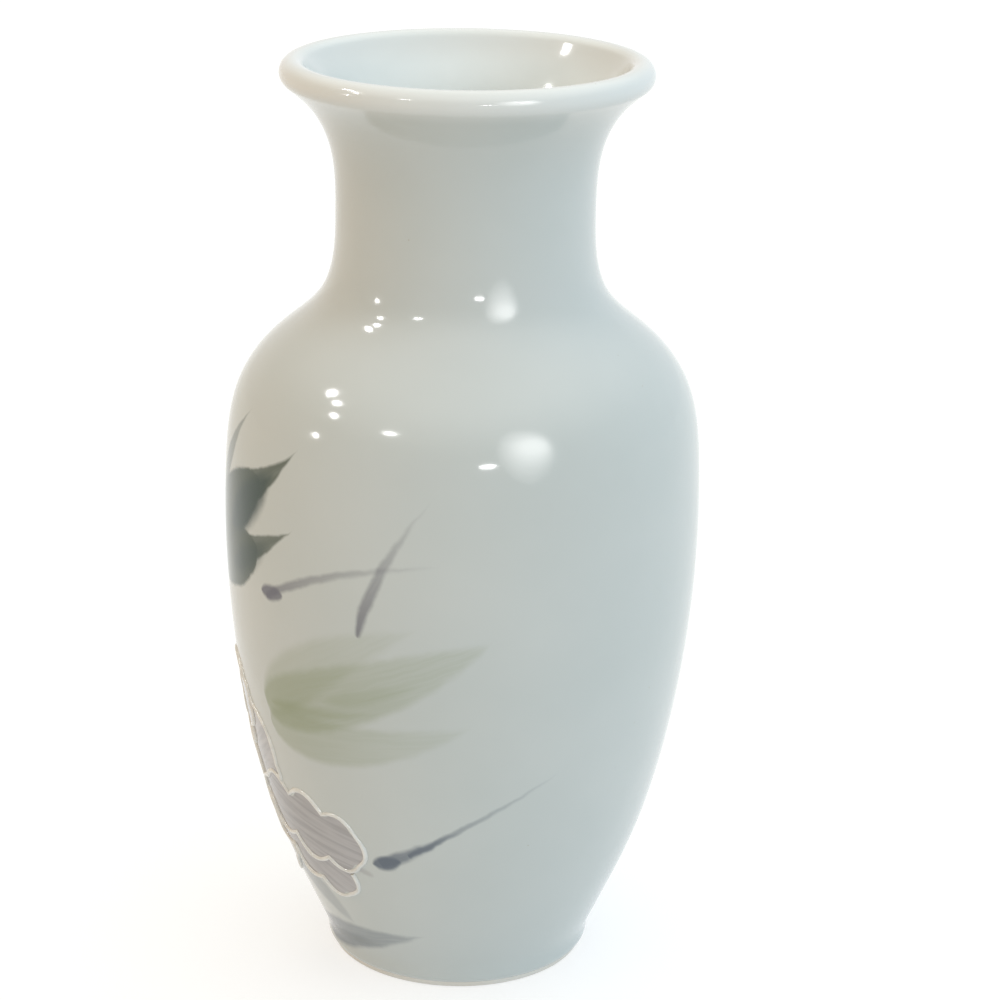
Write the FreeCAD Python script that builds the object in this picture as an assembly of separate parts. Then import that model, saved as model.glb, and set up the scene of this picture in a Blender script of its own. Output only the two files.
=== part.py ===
import FreeCAD, Part
import math
import os

# Baluster vase of glazed porcelain with a flared neck and a rolled lip.
# Five sections are luted together with slip, glazed inside and out, and the petals of a
# painted spray are outlined in raised white slip.
# The axis is Z and the vase stands on the plane z = 0.  Lengths are millimetres, angles degrees.
# An outline is drawn as radius and height in the plane y = 0, and turned about the axis.

os.makedirs("parts", exist_ok=True)

# Outside of the vase, over the glaze.  A rise is the height from one named place to the next:
# the foot ring's top, the belly where it is widest, the waist of the neck, the top of the lip.
foot_height = 6.8
lower_wall_rise = 95.7
shoulder_rise = 65.7
flare_rise = 31.8
foot_diameter = 60.24
foot_taper = 1.85
belly_diameter = 102.62
neck_diameter = 54.84
mouth_diameter = 78.1
lip_thickness = 5.86

# Directions of an outline, turned up from the outward direction
wall_angle_at_foot = 66.5
lip_under_angle = -56.0
lip_inner_angle = 150.0
glaze_meeting_angle = 118.0

# Points between the named places, as shares of the way from one place to the next: radius, height
lower_wall_shares = ((0.382, 0.191), (0.792, 0.513))
shoulder_shares = ((0.012, 0.178), (0.147, 0.441), (0.434, 0.580), (0.851, 0.720))
flare_shares = ((0.261, 0.667),)

# Wall, glaze and inside
wall_thickness = 3.8
glaze_thickness = 0.35
floor_thickness = 4.6
floor_curve_shares = ((0.80, 0.40), (0.48, 0.08))

# Foot ring and the recess under the floor
foot_ring_width = 6.0
recess_height = 4.9
foot_outer_rounding = 1.3
foot_inner_rounding = 0.8
bare_foot_height = 1.5
glaze_pool_radius = 1.6

# Slip seams between the sections
slip_thickness = 0.4
lap_height = 3.0
lip_lap_height = 1.2
neck_seam_share = 0.76
lip_seam_share = 0.84

# Raised outlines of the petals, round the heart of the flower.  Petal length is that of the
# longest one, and the tuck is how far a petal's root lies inside the outline of the heart.
outline_width = 1.1
outline_height = 0.4
flower_azimuth = -88.0
flower_rise = 37.2
heart_diameter = 21.0
petal_length = 46.0
petal_tuck = 1.5

# Notches along one side of a petal, as shares of its length and of half its width, and how far
# the edge swells between two notches, as a share of the distance between them
petal_notch_shares = ((0.30, 0.56), (0.52, 0.88), (0.76, 0.96), (0.93, 0.58))
petal_swell_share = 0.20
petal_root_swell_share = 0.06

# The angle at which each petal points, and its length and width as shares of the petal length.
# The heart lies over all petals, a petal over the next one, and the first also over the last.
petal_angles = (-10.0, -26.0, -66.0, -120.0, -158.0, -210.0, 118.0, 76.0, 33.0)
petal_size_shares = (
    (1.0, 0.315),
    (0.935, 0.283),
    (0.543, 0.413),
    (0.543, 0.413),
    (0.870, 0.326),
    (0.913, 0.348),
    (0.587, 0.478),
    (0.587, 0.500),
    (0.543, 0.543),
)

# How far cutting shapes run past what they cut
overrun = 5.0

# Outlines are cubic curves.  One that is moved sideways is drawn again through this many spans.
curve_degree = 3
moved_curve_spans = 48
curve_tolerance = 1e-6

right_angle = 90.0
half_turn = 180.0
full_turn = 360.0
origin = FreeCAD.Vector(0, 0, 0)
axis = FreeCAD.Vector(0, 0, 1)
outwards = FreeCAD.Vector(1, 0, 0)

belly_height = foot_height + lower_wall_rise
neck_height = belly_height + shoulder_rise
total_height = neck_height + flare_rise
flower_height = foot_height + flower_rise
petal_base_distance = heart_diameter / 2 - petal_tuck
lip_radius = lip_thickness / 2
clay_lip_radius = lip_radius - glaze_thickness
lip_centre_radius = mouth_diameter / 2 - lip_radius
lip_centre_height = total_height - lip_radius
foot_radius = foot_diameter / 2
foot_bottom_radius = foot_radius - foot_taper
foot_inner_radius = foot_bottom_radius - foot_ring_width
floor_height = recess_height + floor_thickness
past_wall = mouth_diameter + belly_diameter


def at(radius, level):
    """Point of an outline."""
    return FreeCAD.Vector(radius, 0, level)


def heading(angle):
    """Unit direction in the outline's plane, turned up from the outward direction."""
    turn = math.radians(angle)
    return FreeCAD.Vector(math.cos(turn), 0, math.sin(turn))


def points_between(start, end, shares):
    """Points at shares of the way from start to end."""
    return [
        at(start.x + (end.x - start.x) * radius_share, start.z + (end.z - start.z) * height_share)
        for radius_share, height_share in shares
    ]


def spline_slopes(points, spans, first_direction, last_direction):
    """Slope at each point with which the bend of one span runs on into the next."""
    carried = [(0, first_direction)]
    stretches = zip(points, points[1:], points[2:], spans, spans[1:])
    for before, point, after, span_in, span_out in stretches:
        share, rest = carried[-1]
        rate = (point - before) * (3 * span_out / span_in) + (after - point) * (3 * span_in / span_out)
        pivot = 2 * (span_in + span_out) - span_out * share
        carried.append((span_in / pivot, (rate - rest * span_out) / pivot))
    slopes = [last_direction]
    for share, rest in reversed(carried):
        slopes.append(rest - slopes[-1] * share)
    return slopes[::-1]


def smooth_curve(points, first_direction, last_direction):
    """Cubic curve of steady bend through the points, with its unit direction at both ends."""
    spans = [(end - start).Length for start, end in zip(points, points[1:])]
    slopes = spline_slopes(points, spans, first_direction, last_direction)
    poles = [points[0]]
    knots = [0]
    for start, end, span, slope, end_slope in zip(points, points[1:], spans, slopes, slopes[1:]):
        poles += [start + slope * (span / curve_degree), end - end_slope * (span / curve_degree), end]
        knots.append(knots[-1] + span)
    inner_knots = len(points) - 2
    curve = Part.BSplineCurve()
    end_knot = [curve_degree + 1]
    repeats = end_knot + [curve_degree] * inner_knots + end_knot
    curve.buildFromPolesMultsKnots(poles, repeats, knots, False, curve_degree)
    for index in range(inner_knots + 1, 1, -1):
        curve.removeKnot(index, 1, curve_tolerance)
    return curve


def direction_at(curve, place):
    """Unit direction of travel along a curve."""
    direction = curve.tangent(place)[0]
    direction.normalize()
    return direction


def left_of(curve, place, distance):
    """Point that lies the distance to the left of the travel, which is towards the axis."""
    direction = direction_at(curve, place)
    return curve.value(place) + at(-direction.z, direction.x) * distance


def moved_left(curve, distance):
    """The curve moved sideways by the distance."""
    first, last = curve.FirstParameter, curve.LastParameter
    span = (last - first) / moved_curve_spans
    points = [left_of(curve, first + span * step, distance) for step in range(moved_curve_spans + 1)]
    return smooth_curve(points, direction_at(curve, first), direction_at(curve, last))


def lip_point(roll_radius, angle):
    """Point on the round of the lip."""
    return at(lip_centre_radius, lip_centre_height) + heading(angle) * roll_radius


def lip_arc(roll_radius, start_angle, end_angle):
    """Stretch of the round of the lip."""
    middle_angle = (start_angle + end_angle) / 2
    ends = [lip_point(roll_radius, angle) for angle in (start_angle, middle_angle, end_angle)]
    return Part.Arc(*ends).toShape()


def line(start, end):
    """Straight edge."""
    return Part.LineSegment(start, end).toShape()


def rounded_corner(before, corner, after, radius):
    """Start, middle and end of the arc that rounds a corner."""
    back = (before - corner).normalize()
    ahead = (after - corner).normalize()
    half_angle = back.getAngle(ahead) / 2
    reach = radius / math.tan(half_angle)
    inward = (back + ahead).normalize()
    centre = corner + inward * (radius / math.sin(half_angle))
    return corner + back * reach, centre - inward * radius, corner + ahead * reach


def face_of(edges):
    """Flat face inside a closed run of edges."""
    return Part.Face(Part.Wire(edges))


def polygon(points):
    """Flat face with straight sides."""
    return Part.Face(Part.makePolygon(points + [points[0]]))


def turned(face):
    """Solid made by turning a flat face about the axis."""
    return face.revolve(origin, axis, full_turn)


def only_face(shape):
    """The one face of a cut outline."""
    if len(shape.Faces) != 1:
        raise ValueError("an outline is cut into %d faces" % len(shape.Faces))
    return shape.Faces[0]


# Outside of the glaze, from the top of the foot ring to the underside of the lip
foot_top = at(foot_radius, foot_height)
belly = at(belly_diameter / 2, belly_height)
waist = at(neck_diameter / 2, neck_height)
lip_under = lip_point(lip_radius, lip_under_angle)

outside_points = (
    [foot_top]
    + points_between(foot_top, belly, lower_wall_shares)
    + [belly]
    + points_between(belly, waist, shoulder_shares)
    + [waist]
    + points_between(waist, lip_under, flare_shares)
    + [lip_under]
)
outside_curve = smooth_curve(
    outside_points, heading(wall_angle_at_foot), heading(lip_under_angle + right_angle)
)
clay_outside_curve = moved_left(outside_curve, glaze_thickness)


def clay_inside_curve():
    """Inside of the clay, from the lip down the wall and across the floor to the axis."""
    depth = glaze_thickness + wall_thickness
    wall_points = [
        left_of(outside_curve, outside_curve.parameter(point), depth)
        for point in reversed(outside_points[1:-1])
    ]
    lowest = wall_points[-1]
    middle = at(0, floor_height)
    floor_points = [
        at(lowest.x * radius_share, floor_height + (lowest.z - floor_height) * height_share)
        for radius_share, height_share in floor_curve_shares
    ]
    return smooth_curve(
        [lip_point(clay_lip_radius, lip_inner_angle)] + wall_points + floor_points + [middle],
        heading(lip_inner_angle + right_angle),
        -outwards,
    )


inside_curve = clay_inside_curve()

# Clay under the glaze at the side of the foot ring
clay_foot_top = clay_outside_curve.value(clay_outside_curve.FirstParameter)
clay_foot_bottom = at(foot_bottom_radius - glaze_thickness, 0)


def wall_face():
    """Outline of all the clay, before it is divided into sections."""
    recess_corner = at(foot_inner_radius, recess_height)
    inner_corner = at(foot_inner_radius, 0)
    inner_round = rounded_corner(recess_corner, inner_corner, clay_foot_bottom, foot_inner_rounding)
    outer_round = rounded_corner(inner_corner, clay_foot_bottom, clay_foot_top, foot_outer_rounding)
    return face_of([
        line(at(0, floor_height), at(0, recess_height)),
        line(at(0, recess_height), recess_corner),
        line(recess_corner, inner_round[0]),
        Part.Arc(*inner_round).toShape(),
        line(inner_round[2], outer_round[0]),
        Part.Arc(*outer_round).toShape(),
        line(outer_round[2], clay_foot_top),
        clay_outside_curve.toShape(),
        lip_arc(clay_lip_radius, lip_under_angle, lip_inner_angle),
        inside_curve.toShape(),
    ])


def radius_at(curve, level):
    """Radius of a curve at a height."""
    level_line = Part.LineSegment(at(0, level), at(past_wall, level))
    return curve.intersectCC(level_line)[0].X


mid_wall_curve = moved_left(outside_curve, glaze_thickness + wall_thickness / 2)


def seam(level, lap):
    """Stepped seam halfway through the wall: step radius, height inside it, height outside it."""
    return radius_at(mid_wall_curve, level), level + lap / 2, level - lap / 2


def seam_side(step_radius, inner_height, outer_height):
    """One side of a seam, from the axis out past the wall."""
    return [
        at(0, inner_height),
        at(step_radius, inner_height),
        at(step_radius, outer_height),
        at(past_wall, outer_height),
    ]


def upper_side(step_radius, inner_height, outer_height):
    """The upper side of a seam, one slip thickness from the lower side."""
    shift = math.copysign(slip_thickness, inner_height - outer_height)
    return seam_side(
        step_radius + shift, inner_height + slip_thickness, outer_height + slip_thickness
    )


neck_seam_height = belly_height + shoulder_rise * neck_seam_share
lip_seam_height = neck_height + (lip_centre_height - neck_height) * lip_seam_share
foot_step_radius = (foot_inner_radius + foot_bottom_radius) / 2
seams = {
    "foot_luting_slip": (foot_step_radius, recess_height - slip_thickness, foot_height),
    "belly_luting_slip": seam(belly_height, lap_height),
    "neck_luting_slip": seam(neck_seam_height, lap_height),
    "rim_luting_slip": seam(lip_seam_height, lip_lap_height),
}
section_names = ("foot_ring", "lower_body", "upper_body", "neck", "mouth_rim")


def sections(clay):
    """The five clay sections, each between two seams."""
    below = [at(0, -overrun), at(past_wall, -overrun)]
    above = [at(0, total_height + overrun), at(past_wall, total_height + overrun)]
    bottoms = [below] + [upper_side(*places) for places in seams.values()]
    tops = [seam_side(*places) for places in seams.values()] + [above]
    return {
        name: turned(only_face(clay.common(polygon(bottom + top[::-1]))))
        for name, bottom, top in zip(section_names, bottoms, tops)
    }


def luting_slip(clay, places):
    """Layer of slip that fills one seam."""
    return turned(only_face(clay.common(polygon(seam_side(*places) + upper_side(*places)[::-1]))))


def outside_glaze():
    """Glaze from just above the standing edge up the wall and over the lip."""
    side = clay_foot_top - clay_foot_bottom
    clay_start = clay_foot_bottom + side * (bare_foot_height / side.z)
    outer_side = foot_top - at(foot_bottom_radius, 0)
    outer_height = bare_foot_height + glaze_thickness
    outer_start = at(foot_bottom_radius, 0) + outer_side * (outer_height / outer_side.z)
    glaze_meeting = lip_point(lip_radius, glaze_meeting_angle)
    clay_meeting = lip_point(clay_lip_radius, glaze_meeting_angle)
    return turned(face_of([
        line(clay_start, outer_start),
        line(outer_start, foot_top),
        outside_curve.toShape(),
        lip_arc(lip_radius, lip_under_angle, glaze_meeting_angle),
        line(glaze_meeting, clay_meeting),
        lip_arc(clay_lip_radius, lip_under_angle, glaze_meeting_angle),
        clay_outside_curve.toShape(),
        line(clay_foot_top, clay_start),
    ]))


def inside_glaze():
    """Glaze from the top of the lip down the inside and over the floor."""
    glazed_curve = moved_left(inside_curve, -glaze_thickness)
    glaze_meeting = lip_point(lip_radius, glaze_meeting_angle)
    clay_meeting = lip_point(clay_lip_radius, glaze_meeting_angle)
    return turned(face_of([
        line(clay_meeting, glaze_meeting),
        lip_arc(lip_radius, glaze_meeting_angle, lip_inner_angle),
        glazed_curve.toShape(),
        line(at(0, floor_height + glaze_thickness), at(0, floor_height)),
        inside_curve.toShape(),
        lip_arc(clay_lip_radius, glaze_meeting_angle, lip_inner_angle),
    ]))


def base_glaze():
    """Glaze in the recess under the floor, which pools in the corner."""
    bare_edge = at(foot_inner_radius, bare_foot_height)
    corner = at(foot_inner_radius, recess_height)
    pool = rounded_corner(
        at(0, recess_height - glaze_thickness),
        at(foot_inner_radius - glaze_thickness, recess_height - glaze_thickness),
        at(foot_inner_radius - glaze_thickness, 0),
        glaze_pool_radius,
    )
    lower_edge = at(foot_inner_radius - glaze_thickness, bare_foot_height + glaze_thickness)
    return turned(face_of([
        line(at(0, recess_height), corner),
        line(corner, bare_edge),
        line(bare_edge, lower_edge),
        line(lower_edge, pool[2]),
        Part.Arc(*pool[::-1]).toShape(),
        line(pool[0], at(0, recess_height - glaze_thickness)),
        line(at(0, recess_height - glaze_thickness), at(0, recess_height)),
    ]))


def swelling_arc(start, end, swell_share):
    """Arc between two points of an outline that runs counterclockwise, swelling outwards."""
    chord = end - start
    outward = FreeCAD.Vector(chord.y, -chord.x, 0)
    return Part.Arc(start, (start + end) / 2 + outward * swell_share, end).toShape()


def petal_wire(length, width):
    """Closed scalloped outline of a petal that grows from the heart along X, in the plane z = 0."""
    base = FreeCAD.Vector(petal_base_distance, 0, 0)
    upper = [
        FreeCAD.Vector(length * along, width / 2 * across, 0)
        for along, across in petal_notch_shares
    ]
    lower = [FreeCAD.Vector(point.x, -point.y, 0) for point in upper]
    notches = lower + upper[::-1]
    arcs = [swelling_arc(base, notches[0], petal_root_swell_share)]
    arcs += [swelling_arc(start, end, petal_swell_share) for start, end in zip(notches, notches[1:])]
    arcs.append(swelling_arc(notches[-1], base, petal_root_swell_share))
    return Part.Wire(arcs)


def prism_on_wall(face, reach, direction, azimuth):
    """A face drawn in the plane z = 0 from the heart along X, set up to face outwards at the
    azimuth, turned to its direction about the heart, and drawn out from the axis past the wall.
    The heart lies the reach to one side of the azimuth."""
    facing = FreeCAD.Rotation(axis, azimuth) * FreeCAD.Rotation(outwards, right_angle)
    upright = FreeCAD.Placement(origin, facing)
    in_place = FreeCAD.Placement(
        FreeCAD.Vector(-reach, flower_height, 0), FreeCAD.Rotation(axis, direction)
    )
    placed = face.copy()
    placed.Placement = upright * in_place
    return placed.extrude(facing.multVec(axis) * (belly_diameter / 2 + overrun))


def heart_prisms():
    """The band round the heart of the flower, and the whole heart."""
    def disc(diameter):
        return Part.Face(Part.Wire(Part.makeCircle(diameter / 2)))

    whole = disc(heart_diameter + outline_width)
    band = whole.cut(disc(heart_diameter - outline_width))
    return [prism_on_wall(face, 0, 0, flower_azimuth) for face in (band, whole)]


def petal_prisms(direction, length, width):
    """The band along a petal's outline, and the whole petal."""
    wire = petal_wire(length, width)
    whole = Part.Face(wire.makeOffset2D(outline_width / 2))
    band = whole.cut(Part.Face(wire.makeOffset2D(-outline_width / 2)))
    turn = math.radians(direction)
    reach = math.cos(turn) * length / 2
    level = flower_height + math.sin(turn) * length / 2
    azimuth = flower_azimuth + math.degrees(reach / radius_at(outside_curve, level))
    return [prism_on_wall(face, reach, direction, azimuth) for face in (band, whole)]


def level_band(low, high):
    """Flat face between two heights, from the axis out past the wall."""
    return polygon([at(0, low), at(past_wall, low), at(past_wall, high), at(0, high)])


def relief_layer():
    """Layer over the outside glaze in which the slip lines stand, as far as the petals reach."""
    top_curve = moved_left(outside_curve, -outline_height)
    outline = face_of([
        outside_curve.toShape(),
        line(outside_points[-1], top_curve.value(top_curve.LastParameter)),
        top_curve.toShape(),
        line(top_curve.value(top_curve.FirstParameter), outside_points[0]),
    ])
    around_flower = level_band(flower_height - petal_length, flower_height + petal_length)
    start = only_face(outline.common(around_flower)).rotated(origin, axis, flower_azimuth + half_turn)
    return start.revolve(origin, axis, half_turn)


def raised_outlines():
    """Raised slip line round the heart and round each petal, cut where others lie over it."""
    layer = relief_layer()
    heart_band, whole_heart = heart_prisms()
    petals = [
        petal_prisms(direction, petal_length * length_share, petal_length * width_share)
        for direction, (length_share, width_share) in zip(petal_angles, petal_size_shares)
    ]
    whole_petals = [whole for band, whole in petals]
    outlines = {"flower_heart_outline": layer.common(heart_band)}
    for index, (band, whole) in enumerate(petals):
        covering = [whole_heart] + whole_petals[max(index - 1, 0):index]
        if index == len(petals) - 1:
            covering.append(whole_petals[0])
        outlines["petal_outline_%d" % (index + 1)] = layer.common(band).cut(covering)
    return outlines


clay = wall_face()
pieces = sections(clay)
pieces.update({name: luting_slip(clay, places) for name, places in seams.items()})
pieces["outside_glaze"] = outside_glaze()
pieces["inside_glaze"] = inside_glaze()
pieces["base_glaze"] = base_glaze()
pieces.update(raised_outlines())

for name, shape in pieces.items():
    shape.exportStep("parts/" + name + ".step")
    print(name, len(shape.Solids), "solid", shape.isValid(), round(shape.Volume, 2), "cubic mm")
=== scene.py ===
import math

import bpy
import numpy as np
from bpy.props import FloatProperty, FloatVectorProperty, IntProperty, PointerProperty
from mathutils import Matrix, Vector
from mathutils.geometry import interpolate_bezier


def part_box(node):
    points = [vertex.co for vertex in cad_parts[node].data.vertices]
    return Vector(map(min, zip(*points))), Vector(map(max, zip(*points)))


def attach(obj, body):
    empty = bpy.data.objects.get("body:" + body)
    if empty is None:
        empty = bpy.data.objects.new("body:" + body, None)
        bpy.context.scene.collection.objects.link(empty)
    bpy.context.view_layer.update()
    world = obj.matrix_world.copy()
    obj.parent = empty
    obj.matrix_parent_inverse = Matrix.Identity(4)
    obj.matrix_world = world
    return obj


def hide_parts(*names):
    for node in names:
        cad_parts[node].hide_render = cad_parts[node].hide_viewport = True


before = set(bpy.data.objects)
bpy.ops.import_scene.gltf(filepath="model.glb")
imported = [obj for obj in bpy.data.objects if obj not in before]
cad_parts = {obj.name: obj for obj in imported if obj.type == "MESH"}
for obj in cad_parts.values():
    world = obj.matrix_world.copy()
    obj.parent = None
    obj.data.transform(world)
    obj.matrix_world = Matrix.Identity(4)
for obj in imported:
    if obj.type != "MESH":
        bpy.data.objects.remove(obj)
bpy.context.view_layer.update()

bl_info = {
    "name": "Baluster Vase",
    "version": (1, 0, 0),
    "blender": (4, 5, 0),
    "location": "3D View > Sidebar > Vase",
    "description": "Glazes, paints and lights a porcelain baluster vase on its packed frame",
    "category": "Object",
}

# Lengths are metres, as in the frame; MM turns a size in millimetres into one.
# The azimuth of a place on the wall is 0 at the front, which is -Y, and grows towards +X.
MM = 0.001
BODY = "root"
CLAY_NODES = ("foot_ring", "lower_body", "upper_body", "neck", "mouth_rim")
SLIP_NODES = ("foot_luting_slip", "belly_luting_slip", "neck_luting_slip", "rim_luting_slip")
HEART_NODE = "flower_heart_outline"


def linear(colour):
    """Linear colour of an sRGB hex value."""
    shares = [int(colour[place:place + 2], 16) / 255 for place in (0, 2, 4)]
    return [s / 12.92 if s <= 0.04045 else ((s + 0.055) / 1.055) ** 2.4 for s in shares]


def colour_setting(name, description, colour):
    """Colour that a user can change, with an sRGB hex value to start from."""
    return FloatVectorProperty(
        name=name, description=description, subtype="COLOR", min=0, max=1, default=linear(colour)
    )


def length_setting(name, description, start, least, most):
    """Length that a user can change, from sizes in millimetres."""
    return FloatProperty(
        name=name, description=description, default=start * MM, min=least * MM, max=most * MM,
        unit="LENGTH", precision=5,
    )


def angle_setting(name, description, start):
    """Angle that a user can change, from one in degrees."""
    return FloatProperty(
        name=name, description=description, default=math.radians(start), subtype="ANGLE"
    )


def number_setting(name, description, start, least, most):
    """Number that a user can change."""
    return FloatProperty(name=name, description=description, default=start, min=least, max=most)


# The petals round the heart: angle, then length and width as shares of the longest petal's length
PETAL_ANGLES = (-10, -26, -66, -120, -158, -210, 118, 76, 33)
PETAL_SIZE_SHARES = (
    (1.0, 0.315),
    (0.935, 0.283),
    (0.543, 0.413),
    (0.543, 0.413),
    (0.870, 0.326),
    (0.913, 0.348),
    (0.587, 0.478),
    (0.587, 0.500),
    (0.543, 0.543),
)
# Notches along one side of a petal, as shares of its length and of half its width
PETAL_NOTCH_SHARES = ((0.30, 0.48), (0.53, 0.72), (0.76, 0.80), (0.93, 0.55))
# How far a petal's line swells out between two notches, round the tip, and from the root to the
# first notch, as shares of the way from one to the other
PETAL_SWELL_SHARE = 0.30
TIP_SWELL_SHARE = 0.21
ROOT_SWELL_SHARE = 0.06


class VaseShape(bpy.types.PropertyGroup):
    """Sizes of the visible pieces that the frame's own pieces don't give."""

    lip_thickness: length_setting("Lip thickness", "Thickness of the round of the lip", 5.86, 1, 12)
    unevenness: length_setting(
        "Unevenness", "How deep the thrown wall dips between the potter's fingers", 0.09, 0, 1
    )
    facets: IntProperty(
        name="Facets round", description="Steps in one turn of the wall",
        default=192, min=24, max=360,
    )
    flower_azimuth: angle_setting("Flower azimuth", "Where the heart of the flower faces", -88)
    petal_length: length_setting("Petal length", "Length of the longest petal", 46, 10, 80)
    petal_tuck: length_setting(
        "Petal tuck", "How far a petal's root lies inside the heart's outline", 1.5, 0, 5
    )
    line_width: length_setting(
        "Slip line width", "Width of a raised line of slip where it meets the glaze", 1.1, 0.2, 3
    )
    line_height: length_setting(
        "Slip line height", "How far a raised line of slip stands out", 0.4, 0.1, 1
    )


class VaseColours(bpy.types.PropertyGroup):
    """Colours of the clay, glaze and pigments."""

    glaze: colour_setting("Glaze", "Glaze at its usual thickness", "c7cbc8")
    glaze_thick: colour_setting("Thick glaze", "Glaze where it has pooled", "bec4c1")
    # Inside glaze: the same clear glaze as outside, painted lighter for the light that falls into
    # the mouth
    glaze_inside_lit: colour_setting("Inside glaze", "Glaze that was poured in and drained", "e0e4e2")
    # Paler glaze over the lip: partly thin glaze, partly painted light on the lip's top, which
    # faces the light from above
    glaze_thin_and_lit: colour_setting("Thin glaze", "Glaze where it has run thin over the lip", "dcdedb")
    bisque: colour_setting("Bisque", "Fired clay with no glaze", "e3e1dc")
    luting_slip: colour_setting("Luting slip", "Fired slip in the seams", "d2cabb")
    raised_slip: colour_setting("Raised slip", "Trailed white slip under a gloss", "e6e6e2")
    leaf_ink: colour_setting("Leaf ink", "Dark green-grey of the upper leaves", "384324")
    leaf_core: colour_setting("Leaf core", "Green-black where the brush was fullest", "0b2a0c")
    twig_grey: colour_setting("Twig grey", "Purple-grey of the crossing twigs", "5f5d68")
    slate: colour_setting("Slate", "Blue-grey of the stem and the lowest leaf", "5c6673")
    leaf_green: colour_setting("Leaf green", "Pale green wash", "808a58")
    petal_mauve: colour_setting("Petal mauve", "Mauve-grey wash of the petals", "a3a1a2")
    heart_ochre: colour_setting("Heart ochre", "Ochre of the flower's heart", "9d8453")


class StudioSettings(bpy.types.PropertyGroup):
    """Camera, floor and light."""

    camera_distance: length_setting(
        "Camera distance", "From the camera to the middle of the vase", 640, 300, 3000
    )
    camera_rise: angle_setting("Camera rise", "How steeply the camera looks down", 18.95)
    camera_roll: angle_setting("Camera roll", "How far the camera leans", 0.70)
    lens: number_setting("Lens", "Focal length in mm on a 36 mm wide picture", 105.95, 10, 300)
    shift_x: number_setting("Shift X", "Sideways shift of the picture", 0.038, -1, 1)
    shift_y: number_setting("Shift Y", "Upward shift of the picture", 0.0155, -1, 1)
    daylight: number_setting("Daylight", "Strength of the light from all round", 1.5, 0, 5)
    ceiling_gloss: number_setting("Ceiling gloss", "How bright the gloss is overhead", 2.6, 1, 5)
    ceiling_left: colour_setting("Ceiling left", "Light from above on the left", "ffe8c2")
    ceiling_right: colour_setting("Ceiling right", "Light from above on the right", "e8f5fd")
    level_left: colour_setting("Level left", "Light level with the vase on the left", "6b4420")
    level_right: colour_setting("Level right", "Light level with the vase on the right", "b7cbd8")
    sweep_left: colour_setting("Sweep left", "Light off the paper's far edge, left", "9a8266")
    sweep_right: colour_setting("Sweep right", "Light off the paper's far edge, right", "c6cbd0")
    bounce_left: colour_setting("Bounce left", "Glow of the paper on the left", "fad6a8")
    bounce_right: colour_setting("Bounce right", "Glow of the paper on the right", "ebf6fd")
    floor: colour_setting("Floor", "Pale paper that the vase stands on", "b6b6b6")


# Modelling


# Points nearer than this are one, and surfaces that meet at a sharper angle keep their edge
SAME_PLACE = 0.001 * MM
COAT_EDGE_ANGLE = math.radians(40)
BEAD_EDGE_ANGLE = math.radians(60)
# Size of the thrown wall's dips
DIP_SIZE = 24 * MM


def select_only(piece=None):
    """Deselects everything, then selects the piece."""
    bpy.ops.object.select_all(action="DESELECT")
    if piece:
        piece.select_set(True)
        bpy.context.view_layer.objects.active = piece


def drawn_line(name, points):
    """New mesh that is one line, drawn from point to point."""
    select_only()
    bpy.ops.mesh.primitive_plane_add(size=MM, location=points[0])
    piece = bpy.context.object
    piece.name = piece.data.name = name
    bpy.ops.object.transform_apply(location=True, rotation=False, scale=False)
    bpy.ops.object.mode_set(mode="EDIT")
    bpy.ops.mesh.select_all(action="SELECT")
    bpy.ops.mesh.merge(type="CENTER")
    for start, end in zip(points, points[1:]):
        bpy.ops.mesh.extrude_vertices_move(TRANSFORM_OT_translate={"value": end - start})
    bpy.ops.object.mode_set(mode="OBJECT")
    return piece


def close_surface():
    """Merges the doubled points of the active piece and turns its faces outwards."""
    bpy.ops.object.mode_set(mode="EDIT")
    bpy.ops.mesh.select_all(action="SELECT")
    bpy.ops.mesh.remove_doubles(threshold=SAME_PLACE)
    bpy.ops.mesh.normals_make_consistent(inside=False)
    bpy.ops.object.mode_set(mode="OBJECT")


def steady_slopes(points, spans):
    """Slope at each point with which the bend of one span runs on into the next."""
    count = len(points)
    weights = np.zeros((count, count))
    pull = np.zeros((count, 3))
    places = np.array(points)
    weights[0, :2] = 2, 1
    weights[-1, -2:] = 1, 2
    pull[0] = 3 * (places[1] - places[0]) / spans[0]
    pull[-1] = 3 * (places[-1] - places[-2]) / spans[-1]
    for row in range(1, count - 1):
        before, after = spans[row - 1], spans[row]
        weights[row, row - 1:row + 2] = after, 2 * (before + after), before
        pull[row] = 3 * after / before * (places[row] - places[row - 1])
        pull[row] += 3 * before / after * (places[row + 1] - places[row])
    return [Vector(slope) for slope in np.linalg.solve(weights, pull)]


def smooth_line(points, longest_step=1.6 * MM, sharpest_turn=math.radians(4)):
    """Points along the curve of steady bend through the given points, closer where it bends."""
    spans = [(end - start).length for start, end in zip(points, points[1:])]
    slopes = steady_slopes(points, spans)
    line = [points[0]]
    for start, end, span, slope, end_slope in zip(points, points[1:], spans, slopes, slopes[1:]):
        turns = math.ceil(slope.angle(end_slope) / sharpest_turn)
        steps = max(1, math.ceil(span / longest_step), turns)
        handles = start + slope * span / 3, end - end_slope * span / 3
        line += interpolate_bezier(start, *handles, end, steps + 1)[1:]
    return line


def at(radius, height):
    """Point of an outline, which is drawn in the plane of X and Z."""
    return Vector((radius, 0, height))


# Decimals of a metre that tell one ring of a CAD node from the next
RING_DECIMALS = 6


def rings(node, faces_away):
    """Where a turned CAD node's surface faces away from the axis, or towards it: its rings of
    points as an outline, lowest first."""
    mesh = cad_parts[node].data
    found = set()
    for face in mesh.polygons:
        if (face.normal.xy.dot(face.center.xy) > 0) == faces_away:
            for index in face.vertices:
                place = mesh.vertices[index].co
                found.add((round(place.z, RING_DECIMALS), round(place.xy.length, RING_DECIMALS)))
    return [at(radius, height) for height, radius in sorted(found)]


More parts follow.
